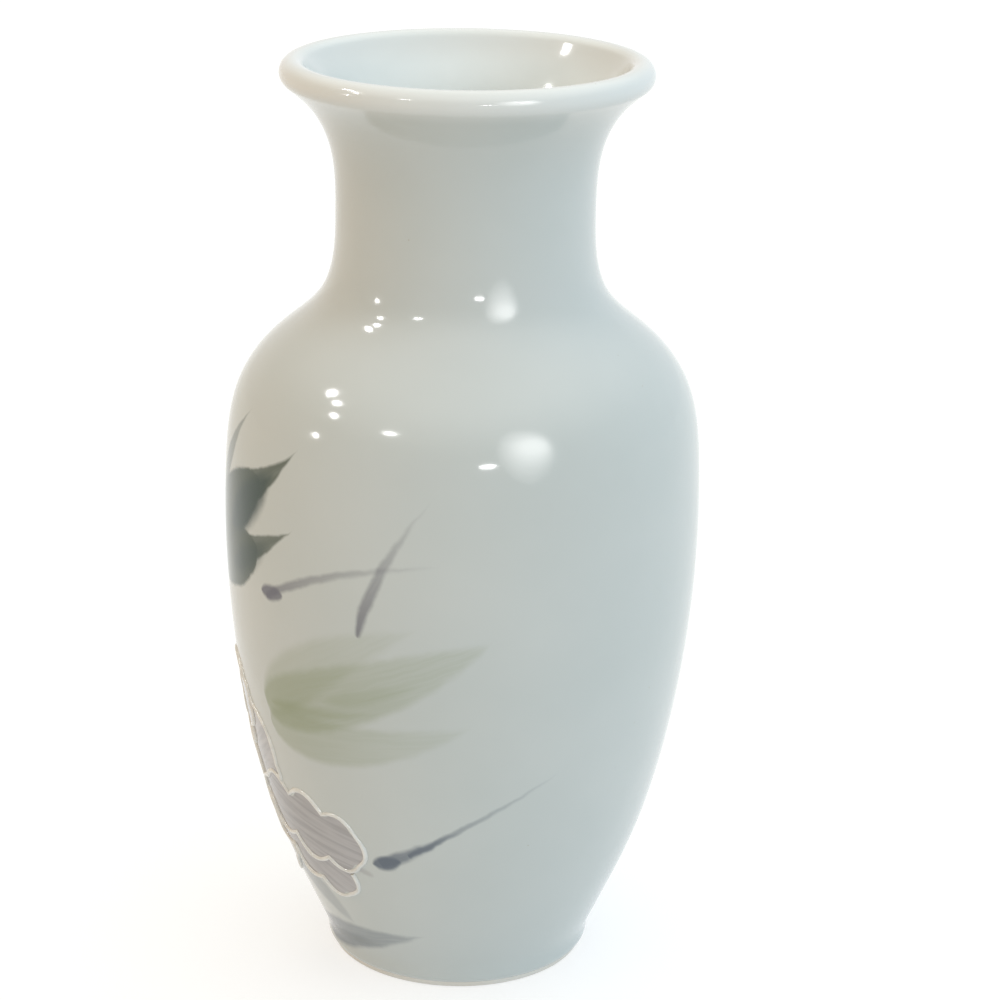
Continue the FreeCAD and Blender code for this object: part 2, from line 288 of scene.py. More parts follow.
def spaced(points, gap):
    """The first point and each next one that lies at least the gap from the one before."""
    kept = points[:1]
    for point in points[1:]:
        if (point - kept[-1]).length >= gap:
            kept.append(point)
    return kept


OUTER_RINGS = rings("outside_glaze", True)
WALL_HEIGHTS = [point.z for point in OUTER_RINGS]
WALL_RADII = [point.x for point in OUTER_RINGS]
# Least gaps between the rings that an outline is drawn through, and between them and the lip
RING_GAP = 4.5 * MM
LIP_GAP = RING_GAP / 4
# Angles on the round of the lip, upwards from the side that faces out: where the outside wall
# meets it, where the two coats meet, where the inside wall leaves it, and from point to point
LIP_UNDER_ANGLE = math.radians(-56)
LIP_SEAM_ANGLE = math.radians(118)
LIP_INNER_ANGLE = math.radians(150)
LIP_STEP_ANGLE = math.radians(12)


def wall_radius(height):
    """Radius of the outside of the glaze at a height."""
    return float(np.interp(height, WALL_HEIGHTS, WALL_RADII))


def lip_arc(shape, start_angle, end_angle):
    """Points on the round of the lip."""
    radius = shape.lip_thickness / 2
    top = WALL_HEIGHTS[-1]
    mouth_radius = max(point.x for point in OUTER_RINGS if point.z > top - shape.lip_thickness)
    centre = at(mouth_radius - radius, top - radius)
    steps = max(2, round((end_angle - start_angle) / LIP_STEP_ANGLE))
    angles = [start_angle + (end_angle - start_angle) * step / steps for step in range(steps + 1)]
    return [centre + at(math.cos(angle), math.sin(angle)) * radius for angle in angles]


def outside_outline(shape):
    """Outside of the glaze, from the bare foot up to the seam on top of the lip."""
    lip = lip_arc(shape, LIP_UNDER_ANGLE, LIP_SEAM_ANGLE)
    wall = [point for point in OUTER_RINGS if point.z < lip[0].z - LIP_GAP]
    return smooth_line(wall[:2] + spaced(wall[2:], RING_GAP) + lip)


def inside_outline(shape):
    """Inside of the glaze, from the seam on top of the lip down to the middle of the floor."""
    lip = lip_arc(shape, LIP_SEAM_ANGLE, LIP_INNER_ANGLE)
    down = rings("inside_glaze", False)[::-1]
    wall = [point for point in down if point.z < lip[-1].z - LIP_GAP]
    middle = at(0, wall[-1].z)
    wall = [point for point in spaced(wall, RING_GAP) if point.x > RING_GAP]
    return smooth_line(lip + wall + [middle])


def glaze_coat(name, outline, shape):
    """Spins the outline of a coat of glaze, lets it dip a little and gives it its thickness."""
    piece = drawn_line(name, outline)
    bpy.ops.object.mode_set(mode="EDIT")
    bpy.ops.mesh.select_all(action="SELECT")
    bpy.ops.mesh.spin(steps=shape.facets, angle=math.tau, center=(0, 0, 0), axis=(0, 0, 1))
    bpy.ops.object.mode_set(mode="OBJECT")
    close_surface()

    dips = bpy.data.textures.new(name + "_dips", type="CLOUDS")
    dips.noise_scale = DIP_SIZE
    uneven = piece.modifiers.new("uneven wall", "DISPLACE")
    uneven.texture = dips
    uneven.texture_coords = "LOCAL"
    uneven.mid_level = 0
    uneven.strength = -shape.unevenness
    thick = piece.modifiers.new("thickness of the glaze", "SOLIDIFY")
    thick.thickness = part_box("outside_glaze")[1].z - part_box("mouth_rim")[1].z
    thick.offset = -1
    for modifier in (uneven, thick):
        bpy.ops.object.modifier_apply(modifier=modifier.name)
    close_surface()
    bpy.ops.object.shade_smooth_by_angle(angle=COAT_EDGE_ANGLE)
    return piece


# The flower, which is drawn flat in front of the wall and laid onto it


def heart_height():
    """Height of the middle of the flower's heart."""
    low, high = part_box(HEART_NODE)
    return (low.z + high.z) / 2


def heart_radius(shape):
    """Radius of the line round the flower's heart."""
    low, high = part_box(HEART_NODE)
    return (high.z - low.z - shape.line_width) / 2


def flat_frame(azimuth, reach, height, angle):
    """Frame in front of the wall: X points along the petal, Z away from the axis, and the origin
    lies in the axis's plane at the heart, the reach to one side of the azimuth."""
    across = Vector((math.cos(azimuth), math.sin(azimuth), 0))
    out = Vector((math.sin(azimuth), -math.cos(azimuth), 0))
    up = Vector((0, 0, 1))
    along = across * math.cos(angle) + up * math.sin(angle)
    aside = up * math.cos(angle) - across * math.sin(angle)
    turn = Matrix((along, aside, out)).transposed().to_4x4()
    return Matrix.Translation(up * height - across * reach) @ turn


def heart_frame(shape):
    """Frame of the flower's heart."""
    return flat_frame(shape.flower_azimuth, 0, heart_height(), 0)


def petal_frame(shape, number):
    """Frame of one petal, and its length and width."""
    angle = math.radians(PETAL_ANGLES[number])
    length, width = [shape.petal_length * share for share in PETAL_SIZE_SHARES[number]]
    reach = math.cos(angle) * length / 2
    height = heart_height()
    middle_radius = wall_radius(height + math.sin(angle) * length / 2)
    azimuth = shape.flower_azimuth + reach / middle_radius
    return flat_frame(azimuth, reach, height, angle), length, width


def swelling_arc(start, end, swell_share, step=0.6 * MM):
    """Points of an arc that swells to the right of the way from start to end."""
    chord = end - start
    swell = chord.length * swell_share
    side = Vector((chord.y, -chord.x)).normalized()
    steps = max(3, round(chord.length / step))
    shares = [index / steps for index in range(steps)]
    return [start + chord * share + side * (swell * 4 * share * (1 - share)) for share in shares]


def petal_outline(shape, length, width):
    """Scalloped outline of a petal in its own frame."""
    base = Vector((heart_radius(shape) - shape.petal_tuck, 0))
    upper = [Vector((length * along, width / 2 * across)) for along, across in PETAL_NOTCH_SHARES]
    lower = [Vector((point.x, -point.y)) for point in upper]
    notches = lower + upper[::-1]
    swells = [PETAL_SWELL_SHARE] * (len(notches) - 1)
    swells[len(swells) // 2] = TIP_SWELL_SHARE
    points = swelling_arc(base, notches[0], ROOT_SWELL_SHARE)
    for start, end, swell in zip(notches, notches[1:], swells):
        points += swelling_arc(start, end, swell)
    return points + swelling_arc(notches[-1], base, ROOT_SWELL_SHARE) + [base]


HEART_STEPS = 90


def heart_outline(shape):
    """Round outline of the heart in its own frame."""
    turns = [math.tau * step / HEART_STEPS for step in range(HEART_STEPS + 1)]
    return [Vector((math.cos(turn), math.sin(turn))) * heart_radius(shape) for turn in turns]


def on_wall(place, x, y, depth):
    """Point on the wall in front of which a point of a flat frame lies, sunk by the depth."""
    spot = place @ Vector((x, y, 0))
    out = place.to_3x3() @ Vector((0, 0, 1))
    radius = wall_radius(spot.z)
    along = spot.dot(out)
    aside = (spot.xy - out.xy * along).length
    forward = math.sqrt(max(radius ** 2 - aside ** 2, 0))
    point = spot + out * (forward - along)
    slope = (wall_radius(point.z + MM) - wall_radius(point.z - MM)) / (2 * MM)
    away = Vector((point.x / radius, point.y / radius, -slope)).normalized()
    return point - away * depth


def covers(outline, place, point):
    """Whether a point of the wall lies behind an outline that is drawn in a flat frame."""
    spot = place.inverted() @ point
    if spot.z < 0:
        return False
    inside = False
    for start, end in zip(outline, outline[1:]):
        if (start.y > spot.y) != (end.y > spot.y):
            crossing = start.x + (end.x - start.x) * (spot.y - start.y) / (end.y - start.y)
            inside ^= crossing > spot.x
    return inside


# A stretch of a line with no more points than this is too short to trail
SHORT_RUN = 3


def shown_runs(points, hidden):
    """The stretches of a line that aren't hidden, each as a list of points."""
    runs = [[]]
    for point in points:
        if hidden(point):
            if runs[-1]:
                runs.append([])
        else:
            runs[-1].append(point)
    return [run for run in runs if len(run) > SHORT_RUN]


# Waves of the trailer's pressure: share of the bead's width, turn from point to point, and start
PRESSURE_WAVES = ((0.10, 0.23, 0), (0.06, 0.61, 1))


def trailed_line(name, points, shape, closed):
    """Bead of slip along a line: round above the glaze, its lower part sunk in it, a little
    thicker here and thinner there as the trailer's pressure changes."""
    select_only(drawn_line(name, points))
    bpy.ops.object.convert(target="CURVE")
    curve = bpy.context.object
    curve.data.bevel_depth = shape.line_width / 2
    curve.data.bevel_resolution = 3
    curve.data.use_fill_caps = True
    for spline in curve.data.splines:
        spline.use_cyclic_u = closed
        for index, point in enumerate(spline.points):
            waves = [
                share * math.sin(index * turn + start) for share, turn, start in PRESSURE_WAVES
            ]
            point.radius = sum(waves, start=1)
    bpy.ops.object.convert(target="MESH")
    close_surface()
    bpy.ops.object.shade_smooth_by_angle(angle=BEAD_EDGE_ANGLE)
    return bpy.context.object


def joined(name, pieces):
    """The pieces as one object of that name."""
    select_only(pieces[0])
    for piece in pieces:
        piece.select_set(True)
    if len(pieces) > 1:
        bpy.ops.object.join()
    piece = bpy.context.object
    piece.name = piece.data.name = name
    return piece


# Materials


def put(tree, kind, sockets=(), out=0, curve=None, **values):
    """Adds a node with its settings and returns one of the outputs that it has in use. The kind
    can name its operation or interpolation too, and Mix mixes colours. A dict gives values or
    links to sockets by name. A list gives them to the sockets in use, in order: for Mix the
    cover, the colour below and the one above, and for MapRange a value, the ends of its range and
    what they become. The curve is the list of points of a curve node."""
    kind, *way = kind.split()
    made = tree.nodes.new("ShaderNode" + kind)
    if way:
        setattr(made, "interpolation_type" if kind == "MapRange" else "operation", way[0])
    if kind == "Mix":
        made.data_type = "RGBA"
    for name, value in values.items():
        setattr(made, name, value)
    if curve:
        line = made.mapping.curves[0]
        for place, height in curve[1:-1]:
            line.points.new(place, height)
        for point, (place, height) in zip(line.points, curve):
            point.location = place, height
        made.mapping.update()
    if isinstance(sockets, dict):
        filled = [(made.inputs[name], value) for name, value in sockets.items()]
    else:
        filled = zip([socket for socket in made.inputs if socket.enabled], sockets)
    for socket, value in filled:
        if isinstance(value, bpy.types.NodeSocket):
            tree.links.new(value, socket)
        elif socket.type == "RGBA":
            socket.default_value = (*value, 1)
        else:
            socket.default_value = value
    results = [socket for socket in made.outputs if socket.enabled]
    return results[out] if results else None


def new_material(name):
    """Empty material, its node tree, and the place on the piece that its patterns start from."""
    material = bpy.data.materials.new(name)
    material.use_nodes = True
    tree = material.node_tree
    tree.nodes.clear()
    return material, tree, put(tree, "TexCoord", out=3)


def new_group(name, vectors, numbers, results):
    """Empty node group, and the sockets inside it that give its inputs and take its results."""
    group = bpy.data.node_groups.new(name, "ShaderNodeTree")
    for names, way, kind in (
        (vectors, "INPUT", "Vector"), (numbers, "INPUT", "Float"), (results, "OUTPUT", "Float")
    ):
        for socket in names:
            group.interface.new_socket(socket, in_out=way, socket_type="NodeSocket" + kind)
    inner = group.nodes
    return group, inner.new("NodeGroupInput").outputs, inner.new("NodeGroupOutput").inputs


def per(size):
    """Noise scale at which one lump has about that size in metres."""
    return 1 / size


# Streaks that the hairs of a brush leave, along and across its way: in a metre of a stroke, where
# they are about 22 mm long and 0.9 mm wide, and in a millimetre of a petal, 17 mm and 1.3 mm
STROKE_STREAKS = (45.0, 1100.0, 0.0)
WASH_STREAKS = (0.06, 0.75, 0.0)
# Width of the soft edge of a petal's wash, in millimetres
WASH_EDGE = 0.5
# How narrow a petal's wash still is near its root: share of the length and of half the width
WASH_ROOT = (0.19, 0.03)


def brush_stroke_group():
    """One brush stroke on the wall. It runs along u from 0 to its length and bends sideways; its
    width swells and tapers, its edge is soft, and it thins and dries out towards its end."""
    group, given, result = new_group(
        "brush stroke", ("Wall", "Stretch", "Start"),
        (
            "Tilt", "Length", "Half width", "Bend", "Swell", "Taper", "Softness", "End strength",
            "Dryness",
        ),
        ("Strength",),
    )
    moved = put(group, "VectorMath MULTIPLY_ADD", [given["Wall"], given["Stretch"], given["Start"]])
    turned = put(
        group, "VectorRotate", {"Vector": moved, "Angle": given["Tilt"]},
        rotation_type="Z_AXIS", invert=True,
    )
    u = put(group, "SeparateXYZ", [turned])
    v = u.node.outputs[1]
    share = put(group, "Math DIVIDE", [u, given["Length"]], use_clamp=True)
    rest = put(group, "Math SUBTRACT", [1.0, share])
    both = put(group, "Math MULTIPLY", [share, rest])
    centre = put(group, "Math MULTIPLY", [both, given["Bend"]])
    aside = put(group, "Math SUBTRACT", [v, centre])
    distance = put(group, "Math ABSOLUTE", [aside])
    rising = put(group, "Math POWER", [share, given["Swell"]])
    falling = put(group, "Math POWER", [rest, given["Taper"]])
    form = put(group, "Math MULTIPLY", [rising, falling])
    half_width = put(group, "Math MULTIPLY", [form, given["Half width"]])
    past_edge = put(group, "Math SUBTRACT", [distance, half_width])
    inner_edge = put(group, "Math MULTIPLY", [given["Softness"], -1.0])
    cover = put(group, "MapRange SMOOTHSTEP", [past_edge, 0.0, inner_edge])
    hairs_at = put(group, "VectorMath MULTIPLY", [turned, STROKE_STREAKS])
    hairs = put(
        group, "TexNoise",
        {"Vector": hairs_at, "W": given["Length"], "Scale": 1.0, "Detail": 1.5, "Roughness": 0.6},
        noise_dimensions="4D",
    )
    gaps = put(group, "MapRange SMOOTHSTEP", [hairs, 0.38, 0.62])
    dry = put(group, "Math MULTIPLY", [share, given["Dryness"]])
    missing = put(group, "Math MULTIPLY", [gaps, dry])
    left = put(group, "Math SUBTRACT", [1.0, missing])
    thinning = put(group, "MapRange", [share, 0, 1, 1.0, given["End strength"]])
    full = put(group, "Math MULTIPLY", [thinning, left])
    strength = put(group, "Math MULTIPLY", [cover, full], use_clamp=True)
    group.links.new(strength, result["Strength"])
    return group


def scallops():
    """Curve over a petal's length, with an arc between each two notches that is 1 at the middle
    of the longest one, and the share of the length that this one takes."""
    places = [notch[0] for notch in PETAL_NOTCH_SHARES]
    longest = max(end - start for start, end in zip(places, places[1:]))
    curve = [(0.0, 0.0), (places[0], 0.0)]
    for start, end in zip(places, places[1:]):
        for share in (0.25, 0.5, 0.75, 1.0):
            height = 4 * share * (1 - share) * (end - start) / longest
            curve.append((start + (end - start) * share, height))
    return curve + [(1.0, 0.0)], longest


def petal_wash_group(arcs):
    """Wash inside one petal, in the petal's own millimetres. Cover is 1 inside its outline; tone
    is dark at the root and along the strokes of the brush, and light towards the tip."""
    group, given, result = new_group(
        "petal wash", ("Petal",), ("Length", "Half width", "Swell", "Last notch", "Tip"),
        ("Cover", "Tone"),
    )
    x = put(group, "SeparateXYZ", [given["Petal"]])
    y, out = x.node.outputs[1:3]
    share = put(group, "Math DIVIDE", [x, given["Length"]], use_clamp=True)
    notched = [(0.0, 0.0), WASH_ROOT, *PETAL_NOTCH_SHARES, (1.0, PETAL_NOTCH_SHARES[-1][1])]
    form = put(group, "FloatCurve", {"Value": share}, curve=notched)
    straight = put(group, "Math MULTIPLY", [form, given["Half width"]])
    arc = put(group, "FloatCurve", {"Value": share}, curve=arcs)
    swollen = put(group, "Math MULTIPLY_ADD", [arc, given["Swell"], straight])
    past_notch = put(group, "MapRange", [x, given["Last notch"], given["Tip"]])
    left = put(group, "Math SUBTRACT", [1.0, past_notch])
    rounding = put(group, "Math SQRT", [left])
    half_width = put(group, "Math MULTIPLY", [swollen, rounding])
    aside = put(group, "Math ABSOLUTE", [y])
    past_edge = put(group, "Math SUBTRACT", [aside, half_width])
    cover = put(group, "MapRange SMOOTHSTEP", [past_edge, 0.0, -WASH_EDGE])
    front = put(group, "Math GREATER_THAN", [out, 0.0])
    shown = put(group, "Math MULTIPLY", [cover, front])
    streaks_at = put(group, "VectorMath MULTIPLY", [given["Petal"], WASH_STREAKS])
    streaks = put(
        group, "TexNoise",
        {"Vector": streaks_at, "W": given["Length"], "Scale": 1.0, "Roughness": 0.55},
        noise_dimensions="4D",
    )
    lines = put(group, "MapRange SMOOTHSTEP", [streaks, 0.40, 0.66, 0, 0.42])
    depth = put(group, "MapRange", [share, 0.95, 0.25, 0, 0.5])
    tone = put(group, "Math ADD", [lines, depth], use_clamp=True)
    group.links.new(shown, result["Cover"])
    group.links.new(tone, result["Tone"])
    return group


# Each stroke: pigment, start and end as azimuth in degrees and height in millimetres, width and
# bend in millimetres, swell and taper (a low one is blunt, a high one slender), softness in
# millimetres, strength at the start, share of it left at the end, and dryness
STROKES = (
    # Pale green leaf
    ("leaf_green", (-57, 66.5), (-9, 92.8), 14.5, 2.4, 0.34, 0.85, 2.8, 0.34, 0.35, 0.25),
    ("leaf_green", (-57.5, 66.5), (7, 89.8), 16.2, -1.7, 0.32, 0.66, 2.4, 0.50, 0.42, 0.30),
    ("leaf_green", (-56.5, 62.8), (4, 71), 12.4, -3.1, 0.30, 0.75, 2.2, 0.46, 0.25, 0.30),
    ("leaf_green", (-55, 67.8), (-18, 73.0), 5.4, -0.9, 0.40, 0.80, 2.4, 0.44, 0.50, 0.25),
    ("leaf_green", (-36, 72.5), (-8, 80.5), 6.0, -0.6, 0.60, 0.80, 2.6, 0.28, 0.60, 0.30),
    # Two crossing twigs
    ("twig_grey", (-52.5, 92.6), (-4, 106.3), 3.0, 2.7, 0.10, 0.42, 1.2, 0.76, 0.10, 0.25),
    ("twig_grey", (-54.5, 93.4), (-46.0, 94.0), 4.7, 0.0, 0.45, 0.50, 1.3, 0.92, 0.90, 0.0),
    ("twig_grey", (-24.6, 89.3), (-4.5, 122.5), 3.6, 2.3, 0.28, 0.95, 1.3, 0.80, 0.12, 0.25),
    # Blue-grey stem beside the flower
    ("slate", (-14, 37.9), (26.5, 58.2), 2.2, 0.3, 0.05, 0.38, 0.9, 0.78, 0.15, 0.25),
    ("slate", (-23.5, 34.6), (0, 45.2), 4.5, -0.5, 0.10, 0.62, 1.5, 0.88, 0.70, 0.15),
    ("slate", (-26.0, 34.1), (-16.6, 36.0), 5.0, 0.0, 0.50, 0.50, 1.4, 0.95, 0.95, 0.0),
    # Dark leaves: blades with slender tips over a broad body
    ("leaf_ink", (-82, 104), (-64.3, 130.5), 5.6, 1.8, 0.40, 1.00, 1.0, 0.88, 0.60, 0.10),
    ("leaf_ink", (-90, 98.5), (-55.5, 116.8), 14.5, -0.6, 0.55, 0.50, 1.2, 0.97, 1.00, 0.0),
    ("leaf_ink", (-67, 112.3), (-41.5, 127.0), 9.4, -1.9, 0.12, 1.25, 0.9, 0.97, 0.85, 0.10),
    ("leaf_ink", (-90, 92), (-56.0, 101.8), 15.5, -0.6, 0.55, 0.50, 1.2, 0.97, 1.00, 0.0),
    ("leaf_ink", (-67, 99), (-41.5, 109.8), 8.0, -1.1, 0.12, 1.20, 0.9, 0.97, 0.80, 0.10),
    ("leaf_core", (-72, 103), (-49.5, 120.4), 12.0, -0.5, 0.60, 0.85, 3.4, 1.00, 0.80, 0.05),
    ("leaf_core", (-72, 94), (-49.5, 105.0), 9.0, -0.6, 0.60, 0.90, 3.4, 0.75, 0.80, 0.05),
    ("leaf_ink", (-85, 99), (-112, 125), 9.0, 1.8, 0.50, 1.10, 0.9, 0.95, 0.85, 0.20),
    ("leaf_ink", (-86, 96), (-123, 108), 8.5, 1.6, 0.50, 1.10, 0.9, 0.95, 0.85, 0.20),
    ("leaf_ink", (-86, 93), (-117, 88), 7.5, 1.2, 0.50, 1.10, 0.9, 0.92, 0.85, 0.20),
    ("leaf_core", (-92, 102), (-111, 121), 4.0, 1.4, 0.60, 1.10, 2.0, 0.70, 0.60, 0.10),
    ("twig_grey", (-93, 66), (-88, 93), 1.9, 1.2, 0.10, 0.30, 0.6, 0.80, 0.80, 0.30),
    # Dark leaf under the flower
    ("slate", (-70, 26), (-42, 13.6), 9.0, 0.8, 0.35, 0.65, 2.0, 0.60, 0.50, 0.20),
    ("slate", (-76, 6.4), (-10, 15.0), 9.4, -0.9, 0.35, 0.95, 1.6, 0.84, 0.45, 0.25),
    ("leaf_core", (-66, 7.4), (-26, 10.4), 4.6, -0.5, 0.60, 0.90, 2.0, 0.45, 0.30, 0.15),
    ("slate", (-104, 20), (-136, 12), 6.0, 2.5, 0.50, 1.00, 1.4, 0.70, 0.35, 0.30),
    # Smudge at the tip of the front petal
    ("petal_mauve", (-32.5, 31.8), (-26.2, 30.8), 2.6, 0.0, 0.40, 0.40, 1.2, 0.60, 0.80, 0.10),
    # Leaf and stem on the far side of the flower
    ("leaf_green", (-126, 62), (-168, 80), 13.0, 4.0, 0.30, 0.90, 1.8, 0.50, 0.25, 0.35),
    ("leaf_green", (-126, 58), (-170, 61), 11.0, -3.5, 0.30, 0.90, 1.8, 0.45, 0.25, 0.35),
    ("slate", (-122, 30), (-158, 44), 2.4, 1.5, 0.15, 0.80, 1.0, 0.80, 0.15, 0.40),
)


def painted_strokes(tree, glaze, wall, colours):
    """Lays each brush stroke over the colour of the glaze."""
    group = brush_stroke_group()
    for pigment, start, end, width, bend, swell, taper, soft, strength, kept, dryness in STROKES:
        radius = wall_radius((start[1] + end[1]) / 2 * MM)
        first = Vector((radius * math.radians(start[0]), start[1] * MM, 0))
        last = Vector((radius * math.radians(end[0]), end[1] * MM, 0))
        way = last - first
        # The widest place of the form share^swell * (1 - share)^taper
        peak = swell / (swell + taper)
        widest = peak ** swell * (1 - peak) ** taper
        stroke = put(
            tree, "Group",
            {
                "Wall": wall, "Stretch": (radius, 1, 0), "Start": -first,
                "Tilt": math.atan2(way.y, way.x), "Length": way.length,
                "Half width": width / 2 * MM / widest, "Bend": 4 * bend * MM, "Swell": swell,
                "Taper": taper, "Softness": soft * MM, "End strength": kept, "Dryness": dryness,
            },
            node_tree=group,
        )
        laid = put(tree, "Math MULTIPLY", [stroke, strength])
        wash = getattr(colours, pigment)
        glaze = put(tree, "Mix", [laid, glaze, wash])
    return glaze


def drawn_in(tree, place, flat):
    """The place as it is drawn in a flat frame, in millimetres."""
    return put(
        tree, "Mapping",
        {
            "Vector": place, "Location": flat.translation, "Rotation": flat.to_euler(),
            "Scale": (MM, MM, MM),
        },
        vector_type="TEXTURE",
    )


# How light and dark a petal's wash gets, as shares of its colour
WASH_TONES = (1.28, 0.66)
# Soft edge of the heart's disc, from its radius in millimetres, and stamens in one millimetre
HEART_EDGE = (0.2, -0.4)
STAMENS = 0.62


def painted_flower(tree, place, glaze, shape, colours):
    """Lays the petals' washes over the glaze, the lowest petal first, then the heart."""
    arcs, longest_arc = scallops()
    group = petal_wash_group(arcs)
    light, dark = [[value * tone for value in colours.petal_mauve] for tone in WASH_TONES]
    along, across = PETAL_NOTCH_SHARES[-1]
    for number in reversed(range(len(PETAL_ANGLES))):
        petal, length, width = petal_frame(shape, number)
        wash = put(
            tree, "Group",
            {
                "Petal": drawn_in(tree, place, petal), "Length": length / MM,
                "Half width": width / 2 / MM,
                "Swell": PETAL_SWELL_SHARE * longest_arc * length / MM,
                "Last notch": length * along / MM,
                "Tip": (length * along + TIP_SWELL_SHARE * width * across) / MM,
            },
            node_tree=group,
        )
        tone = wash.node.outputs[1]
        petal_colour = put(tree, "Mix", [tone, light, dark])
        glaze = put(tree, "Mix", [wash, glaze, petal_colour])
    heart = drawn_in(tree, place, heart_frame(shape))
    depth = put(tree, "SeparateXYZ", [heart], out=2)
    flat = put(tree, "VectorMath MULTIPLY", [heart, (1.0, 1.0, 0.0)])
    from_middle = put(tree, "VectorMath LENGTH", [flat])
    radius = heart_radius(shape) / MM
    disc = put(tree, "MapRange", [from_middle, radius + HEART_EDGE[0], radius + HEART_EDGE[1]])
    front = put(tree, "Math GREATER_THAN", [depth, 0.0])
    cover = put(tree, "Math MULTIPLY", [disc, front])
    # Stamens: dabs of a small brush, about 1.6 mm apart
    dabs = put(
        tree, "TexVoronoi", {"Vector": flat, "Scale": STAMENS, "Randomness": 0.8},
        voronoi_dimensions="2D",
    )
    dab = put(tree, "MapRange", [dabs, 0.42, 0.16, 0.25])
    stamens = put(tree, "Math MULTIPLY", [cover, dab])
    for part, tint in ((cover, light), (stamens, colours.heart_ochre)):
        glaze = put(tree, "Mix", [part, glaze, tint])
    return glaze


# Where the glaze starts to thin over the lip and to take the painted light of the lip's top, and
# where it is thin and palest, below the top of the vase
THIN_GLAZE_AND_LIT_LIP_DEPTHS = (7.5 * MM, 2.5 * MM)


def glaze_body(tree, place, colours, usual):
    """Colour of the bare glaze: the usual one, faintly clouded with that of thicker glaze, and
    paler over the lip, where the glaze runs thin and painted light stands for the light that falls
    on the lip's top, with a few fine specks of iron."""
    clouds = put(tree, "TexNoise", {"Vector": place, "Scale": per(38 * MM), "Detail": 3.0})
    clouding = put(tree, "MapRange", [clouds, 0.35, 0.7, 0, 0.6])
    height = put(tree, "SeparateXYZ", [place], out=2)
    thinning, thinned = [WALL_HEIGHTS[-1] - depth for depth in THIN_GLAZE_AND_LIT_LIP_DEPTHS]
    # Paler band at the lip: thin glaze, and painted light where the lip's top faces up
    lip = put(tree, "MapRange SMOOTHSTEP", [height, thinning, thinned])
    specks = put(tree, "TexVoronoi", {"Vector": place, "Scale": per(9 * MM)})
    speck = put(tree, "MapRange", [specks, 0.022, 0.012, 0, 0.35])
    glaze = usual
    layers = (
        (clouding, colours.glaze_thick), (lip, colours.glaze_thin_and_lit), (speck, colours.heart_ochre)
    )
    for cover, tint in layers:
        glaze = put(tree, "Mix", [cover, glaze, tint])
    return glaze


def finish_glaze(tree, place, glaze):
    """Gloss of a fired glaze: a hard, clear skin with a faint orange peel and soft ripples."""
    peel = put(tree, "TexNoise", {"Vector": place, "Scale": per(1.1 * MM), "Detail": 1.0})
    ripples = put(tree, "TexNoise", {"Vector": place, "Scale": per(9 * MM), "Detail": 1.0})
    fine = put(tree, "Bump", {"Strength": 0.12, "Distance": 0.02 * MM, "Height": peel})
    surface = put(
        tree, "Bump", {"Strength": 0.35, "Distance": 0.12 * MM, "Height": ripples, "Normal": fine}
    )
    wear = put(tree, "TexNoise", {"Vector": place, "Scale": per(22 * MM), "Detail": 4.0})
    roughness = put(tree, "MapRange", [wear, 0.3, 0.75, 0.07, 0.13])
    shader = put(
        tree, "BsdfPrincipled",
        {"Base Color": glaze, "Roughness": roughness, "IOR": 1.5, "Normal": surface},
    )
    put(tree, "OutputMaterial", {"Surface": shader})


# How far the hand's tremor moves the edges of the strokes: radians round the wall, metres up it
TREMOR = (0.020, 0.9 * MM, 0.0)


def painted_glaze(shape, colours):
    """Clear feldspar glaze over white porcelain, brushed with oxide washes: glossy, cool white,
    with soft washes that thin out along each stroke."""
    material, tree, place = new_material("painted clear glaze")
    x = put(tree, "SeparateXYZ", [place])
    y, height = x.node.outputs[1:3]
    front = put(tree, "Math MULTIPLY", [y, -1.0])
    azimuth = put(tree, "Math ARCTAN2", [x, front])
    wall = put(tree, "CombineXYZ", [azimuth, height])
    tremor = put(tree, "TexNoise", {"Vector": place, "Scale": per(3.5 * MM)}, out=1)
    centred = put(tree, "VectorMath SUBTRACT", [tremor, (0.5, 0.5, 0.5)])
    shake = put(tree, "VectorMath MULTIPLY", [centred, TREMOR])
    wandering = put(tree, "VectorMath ADD", [wall, shake])
    glaze = glaze_body(tree, place, colours, colours.glaze)
    glaze = painted_strokes(tree, glaze, wandering, colours)
    finish_glaze(tree, place, painted_flower(tree, place, glaze, shape, colours))
    return material


def plain_glaze(colours):
    """Clear feldspar glaze over white porcelain with no brushwork: glossy, cool white, and painted
    lighter than the outside coat's glaze for the light that falls into the mouth.
    """
    material, tree, place = new_material("plain clear glaze painted lighter")
    # The inside coat's colour is the outside glaze painted lighter, standing in for light
    finish_glaze(tree, place, glaze_body(tree, place, colours, colours.glaze_inside_lit))
    return material


# What the kiln's flame leaves of a fired clay's colour where it toasts it
TOAST = (0.93, 0.87, 0.78)


def bisque(name, fired, grit):
    """Porcelain fired without glaze: matt, slightly toasted, with a fine, glinting grit."""
    material, tree, place = new_material(name)
    grains = put(
        tree, "TexNoise", {"Vector": place, "Scale": per(grit), "Detail": 3.0, "Roughness": 0.65}
    )
    toast = put(tree, "TexNoise", {"Vector": place, "Scale": per(14 * MM)})
    toasted = [value * share for value, share in zip(fired, TOAST)]
    clay = put(tree, "Mix", [toast, fired, toasted])
    dusty = put(tree, "MapRange", [grains, 0.3, 0.7, 0.62, 0.85])
    surface = put(tree, "Bump", {"Strength": 0.5, "Distance": 0.06 * MM, "Height": grains})
    shader = put(
        tree, "BsdfPrincipled", {"Base Color": clay, "Roughness": dusty, "Normal": surface}
    )
    put(tree, "OutputMaterial", {"Surface": shader})
    return material


# Colour of trailed slip where it is thin, as a share of its full colour
THIN_SLIP_TONE = 0.88


